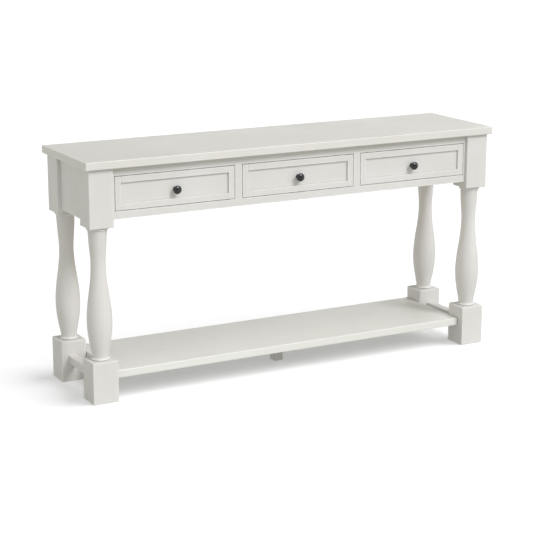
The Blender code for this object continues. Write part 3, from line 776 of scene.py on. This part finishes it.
def make_shelf():
    """The shelf, and the fluted dowels that hold its ends in the foot blocks.

    A dowel's outline is turned about its length. Its radius is then drawn in by half a wave for
    each flute, so that it has shallow grooves all round.
    """
    low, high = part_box("shelf")
    # The shelf's paint is a lighter copy: painted light for its shade under the apron
    board_piece("shelf_painted", low, high, SHELF_PAINT_WITH_PAINTED_LIGHT, "antique_white_top_paint", "shelf",
                OUTER_ARRIS, tools=[dowel_hole(corner) for corner in CORNERS])
    for corner in CORNERS:
        node = f"{corner}_shelf_dowel"
        low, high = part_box(node)
        radius = (high.z - low.z) / 2
        half = (high.x - low.x) / 2
        nose = np.linspace(0, np.pi / 2, NOSE_STEPS)
        end = np.stack([radius - DOWEL_NOSE * (1 - np.sin(nose)),
                        half - DOWEL_NOSE * (1 - np.cos(nose))], -1)
        outline = np.concatenate([[(0.0, half)], end, end[::-1] * (1, -1), [(0.0, -half)]])
        points, faces = revolved(outline, DOWEL_STEPS, (0.0, 0.0, 0.0), "x")
        angle = np.arctan2(points[:, 2], points[:, 1])
        groove = 1 - DOWEL_FLUTE * np.maximum(0, np.cos(DOWEL_FLUTES * angle))
        points[:, 1:] *= groove[:, None]
        middle = (np.array(low) + np.array(high)) / 2
        dowel = new_piece(f"{node}_wood", points + middle, faces, DRAWER_WOOD["x"])
        set_share(dowel, "edge", np.clip(1 - (half - np.abs(points[:, 0])) / DOWEL_NOSE, 0, 1))
        finish_piece(dowel, body_of(node), "drawer_box_wood", node)


def make_drawer(name):
    """One drawer: front members and panel, knob, screw and box."""
    node = f"{name}_front_frame"
    low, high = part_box(node)
    groove = room_for(f"{name}_front_panel")
    inner_low = low + Vector((FRAME_WIDTH, 0, FRAME_WIDTH))
    inner_high = high - Vector((FRAME_WIDTH, 0, FRAME_WIDTH))
    rail_start, rail_stop = inner_low.x + JOINT_LINE, inner_high.x - JOINT_LINE
    members = {
        "left_stile": ("z", low, (inner_low.x, high.y, high.z)),
        "right_stile": ("z", (inner_high.x, low.y, low.z), high),
        "top_rail": ("x", (rail_start, low.y, inner_high.z), (rail_stop, high.y, high.z)),
        "bottom_rail": ("x", (rail_start, low.y, low.z), (rail_stop, high.y, inner_low.z)),
    }
    for part, (grain, part_low, part_high) in members.items():
        board_piece(f"{name}_front_{part}_painted", part_low, part_high, PAINT[grain],
                    "antique_white_paint", node, MEMBER_ARRIS, tools=(groove,))
    make_front_panel(name)
    make_knob(name)
    make_screw(name)
    make_drawer_box(name)


def make_front_panel(name):
    """The flat panel in its groove, bored for the knob's screw, with painted shade at its frame.

    The painted shade fades evenly from the frame's inner edge over the width of its band.
    """
    low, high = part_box(f"{name}_front_panel")
    middle = (low + high) / 2
    radius = SCREW_RADIUS + GLUE_LINE
    back = low.y - high.y - CUT_THROUGH
    bore = revolved([(0, CUT_THROUGH), (radius, CUT_THROUGH), (radius, back), (0, back)],
                    SCREW_STEPS, (middle.x, low.y, middle.z), "y")
    panel = board_piece(f"{name}_front_panel_painted", low, high, PAINT["x"],
                        "antique_white_paint", f"{name}_front_panel", MEMBER_ARRIS, tools=(bore,),
                        bands=(TONGUE, TONGUE + PAINTED_SHADE_BAND))
    # Painted shade: the paint darkens towards the frame, where the recess lies in shade
    inward = np.minimum(points_of(panel) - np.array(low), np.array(high) - points_of(panel))
    inward = inward[:, (0, 2)].min(axis=1) - TONGUE
    set_share(panel, "glaze", np.clip(1 - inward / PAINTED_SHADE_BAND, 0, 1))


def make_knob(name):
    """A round knob: flattened ball head, slim stem and a small foot, bored for its screw.

    The head's outline is an ellipse down to the stem, and the foot flares in a quarter of one.
    """
    node = f"{name}_knob"
    low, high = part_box(node)
    length = high.y - low.y
    radius = (high.x - low.x) / 2
    head_base = length - KNOB_HEAD_HEIGHT
    stem_turn = math.pi - math.asin(KNOB_STEM_RADIUS / radius)
    turn = np.linspace(0, stem_turn, BALL_STEPS)
    ball = np.stack([radius * np.sin(turn),
                     head_base + KNOB_HEAD_HEIGHT * (1 + np.cos(turn)) / 2], -1)
    flare = np.linspace(0, np.pi / 2, FLARE_STEPS)
    drop = 2 * KNOB_FOOT_HEIGHT
    foot_curve = np.stack([
        KNOB_FOOT_RADIUS - (KNOB_FOOT_RADIUS - KNOB_STEM_RADIUS) * np.cos(flare),
        KNOB_FOOT_HEIGHT + drop * (1 - np.sin(flare)),
    ], -1)
    bore = SCREW_RADIUS + GLUE_LINE
    bore_depth = SCREW_GRIP + GLUE_LINE
    outline = np.concatenate([
        ball, foot_curve,
        [(KNOB_FOOT_RADIUS, KNOB_FOOT_EASE), (KNOB_FOOT_RADIUS - KNOB_FOOT_EASE, 0.0),
         (bore, 0.0), (bore, bore_depth), (0.0, bore_depth)],
    ])
    foot = ((low.x + high.x) / 2, high.y, (low.z + high.z) / 2)
    points, faces = revolved(outline, KNOB_STEPS, foot, "y")
    knob = new_piece(f"{name}_knob_turned", points, faces, KNOB_METAL)
    out = (high.y - points[:, 1]) / length
    set_share(knob, "edge", np.clip((out - KNOB_WEAR_START) / (1 - KNOB_WEAR_START), 0, 1))
    finish_piece(knob, body_of(node), "dark_bronze", node)


def make_screw(name):
    """The knob's screw, with a domed head and a cross recess.

    The head is flat over most of its radius and falls away in a quarter of an ellipse. The
    recess is a drop at every point near enough to one of the two arms, with sloping walls.
    """
    node = f"{name}_knob_screw"
    low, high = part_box(node)
    radius = (high.x - low.x) / 2
    panel_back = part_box(f"{name}_front_panel")[1].y
    head = high.y - panel_back - GLUE_LINE
    shank = panel_back + GLUE_LINE - low.y
    dome = np.linspace(0, np.pi / 2, HEAD_DOME_STEPS)
    rings = np.linspace(0.0, HEAD_FLAT_SHARE, HEAD_RINGS)[1:]
    flat_top = np.stack([rings * radius, np.full(rings.size, head)], -1)
    crown = np.stack([radius * (HEAD_FLAT_SHARE + (1 - HEAD_FLAT_SHARE) * np.sin(dome)),
                      head * (1 - HEAD_DROP_SHARE * (1 - np.cos(dome)))], -1)
    outline = np.concatenate([
        [(0.0, head)], flat_top, crown[1:],
        [(radius, 0.0), (SCREW_RADIUS, 0.0), (SCREW_RADIUS, SCREW_POINT - shank), (0.0, -shank)],
    ])
    middle = np.array([(low.x + high.x) / 2, panel_back + GLUE_LINE, (low.z + high.z) / 2])
    points, faces = revolved(outline, SCREW_STEPS, (0.0, 0.0, 0.0))
    across, up, out = points.T.copy()
    arm = np.minimum(np.abs(across), np.abs(up))
    far = np.maximum(np.abs(across), np.abs(up))
    inside = (np.clip((RECESS_HALF_WIDTH - arm) / RECESS_WALL, 0, 1)
              * np.clip((RECESS_REACH - far) / RECESS_END, 0, 1))
    recess = RECESS_DEPTH * inside * (out > head * HEAD_TOP_SHARE)
    placed = np.stack([across, out - recess, -up], -1) + middle
    screw = new_piece(f"{name}_knob_screw_steel", placed, faces, SCREW_STEEL)
    finish_piece(screw, body_of(node), "zinc_plated_steel", node)


def make_drawer_box(name):
    """The drawer's two sides, its back and its bottom."""
    groove = room_for(f"{name}_bottom", CUT_THROUGH)
    for side in SIDES:
        node = f"{name}_{side}_side"
        low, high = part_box(node)
        board_piece(f"{node}_wood", low, high, DRAWER_WOOD["y"], "drawer_box_wood", node,
                    MEMBER_ARRIS, tools=(groove,))
    for part in ("back", "bottom"):
        node = f"{name}_{part}"
        low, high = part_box(node)
        board_piece(f"{node}_wood", low, high, DRAWER_WOOD["x"], "drawer_box_wood", node,
                    MEMBER_ARRIS)


def dress_runners():
    """The drawer runners keep their own shape and get the bare wood's finish."""
    for node in ("left_runner", "right_runner", "middle_runner_1", "middle_runner_2"):
        runner = frame["nodes"][node]
        runner.data.materials.clear()
        runner.data.materials.append(DRAWER_WOOD["y"])


# ---------------------------------------------------------------- studio


def make_camera():
    """The camera, at the height and turn from which the table is seen."""
    data = bpy.data.cameras.new("view_camera")
    data.sensor_width = SENSOR
    data.lens = LENS
    data.clip_end = 2 * FLOOR_REACH
    camera = bpy.data.objects.new("view_camera", data)
    bpy.context.scene.collection.objects.link(camera)
    camera.location = VIEW_PLACE
    camera.rotation_euler = (math.pi / 2 - VIEW_DROP, 0.0, -VIEW_TURN)
    bpy.context.scene.camera = camera


def make_sun(name, direction, spread, strength, colour):
    """A broad soft light from one direction."""
    data = bpy.data.lights.new(name, "SUN")
    data.energy = strength
    data.angle = spread
    data.color = colour
    sun = bpy.data.objects.new(name, data)
    bpy.context.scene.collection.objects.link(sun)
    sun.rotation_mode = "QUATERNION"
    sun.rotation_quaternion = Vector(direction).to_track_quat("Z", "Y")
    return sun


def make_lamps(floor):
    """A high key from the front right, and the floor's own light.

    The key leaves the floor out. The floor's light shines on the floor only, and only the low
    pieces shade it, so that the floor stays white beyond the table's feet.
    """
    key = make_sun("front_key", KEY_DIRECTION, KEY_SPREAD, KEY_STRENGTH, KEY_COLOUR)
    all_but_floor = bpy.data.collections.new("all_but_floor")
    all_but_floor.objects.link(floor)
    all_but_floor.collection_objects[0].light_linking.link_state = "EXCLUDE"
    key.light_linking.receiver_collection = all_but_floor
    floor_light = make_sun("floor_light", FLOOR_LIGHT_DIRECTION, FLOOR_LIGHT_SPREAD,
                           FLOOR_LIGHT_STRENGTH, WHITE[:3])
    floor_only = bpy.data.collections.new("floor_only")
    floor_only.objects.link(floor)
    floor_light.light_linking.receiver_collection = floor_only
    low_pieces = bpy.data.collections.new("low_pieces")
    for piece in bpy.context.scene.objects:
        if any(word in piece.name for word in LOW_PIECE_WORDS):
            low_pieces.objects.link(piece)
    floor_light.light_linking.blocker_collection = low_pieces


def make_dome():
    """The light from all round, which the camera sees as plain white.

    It is the sum of three soft patches: one low down at both sides, one low down behind, and a
    crown that leans from overhead to the front.
    """
    world = bpy.data.worlds.new("studio")
    bpy.context.scene.world = world
    world.use_nodes = True
    tree = world.node_tree
    tree.nodes.clear()
    direction = add_node(tree, "ShaderNodeTexCoord").outputs["Generated"]
    parts = add_node(tree, "ShaderNodeSeparateXYZ", {0: direction})
    x, y, z = (parts.outputs[name] for name in "XYZ")
    low = remap(tree, z, *LOW_FADE, 1.0, 0.0)
    aside = remap(tree, calculate(tree, "ABSOLUTE", x, 0.0), *SIDE_FADE, 0.0, DOME_SIDE)
    turned = remap(tree, calculate(tree, "ABSOLUTE", y, 0.0), *SIDE_TURN_FADE, 0.0, 1.0)
    rear = remap(tree, y, *REAR_FADE, 0.0, DOME_REAR)
    around = calculate(tree, "ADD", calculate(tree, "MULTIPLY", aside, turned), rear)
    around = calculate(tree, "MULTIPLY", low, around)
    forward, upward = CROWN_LEAN
    lean = calculate(tree, "SUBTRACT", calculate(tree, "MULTIPLY", z, upward),
                     calculate(tree, "MULTIPLY", y, forward))
    crown = remap(tree, lean, *CROWN_FADE, 0.0, DOME_CROWN)
    strength = calculate(tree, "ADD", around, crown)
    dome = add_node(tree, "ShaderNodeBackground", {"Color": DOME_COLOUR, "Strength": strength})
    plain = add_node(tree, "ShaderNodeBackground", {"Color": WHITE, "Strength": 1.0})
    seen = add_node(tree, "ShaderNodeLightPath").outputs["Is Camera Ray"]
    both = add_node(tree, "ShaderNodeMixShader",
                    {0: seen, 1: dome.outputs[0], 2: plain.outputs[0]})
    add_node(tree, "ShaderNodeOutputWorld", {"Surface": both.outputs[0]})


def make_floor():
    """A plain white studio floor."""
    corners = FLOOR_REACH * np.array([(-1, -1, 0), (1, -1, 0), (1, 1, 0), (-1, 1, 0)])
    floor = new_piece("studio_floor", corners, [(0, 1, 2, 3)], floor_finish())
    return floor


def floor_finish():
    """Matt white that glows a little, and that throws back less light than the eye sees."""
    material, tree, shader = blank_finish("studio_white")
    seen = add_node(tree, "ShaderNodeLightPath").outputs["Is Camera Ray"]
    colour = mix_colours(tree, seen, FLOOR_BOUNCE, FLOOR_SEEN)
    tree.links.new(colour, shader.inputs["Base Color"])
    shader.inputs["Roughness"].default_value = 0.9
    shader.inputs["Specular IOR Level"].default_value = 0.0
    shader.inputs["Emission Color"].default_value = WHITE
    shader.inputs["Emission Strength"].default_value = FLOOR_GLOW
    return material


make_top()
for corner_name in CORNERS:
    make_corner(corner_name)
make_plain_boards()
make_shelf()
for drawer_name in DRAWERS:
    make_drawer(drawer_name)
dress_runners()
make_camera()
make_lamps(make_floor())
make_dome()
bpy.context.scene.view_settings.view_transform = "Standard"
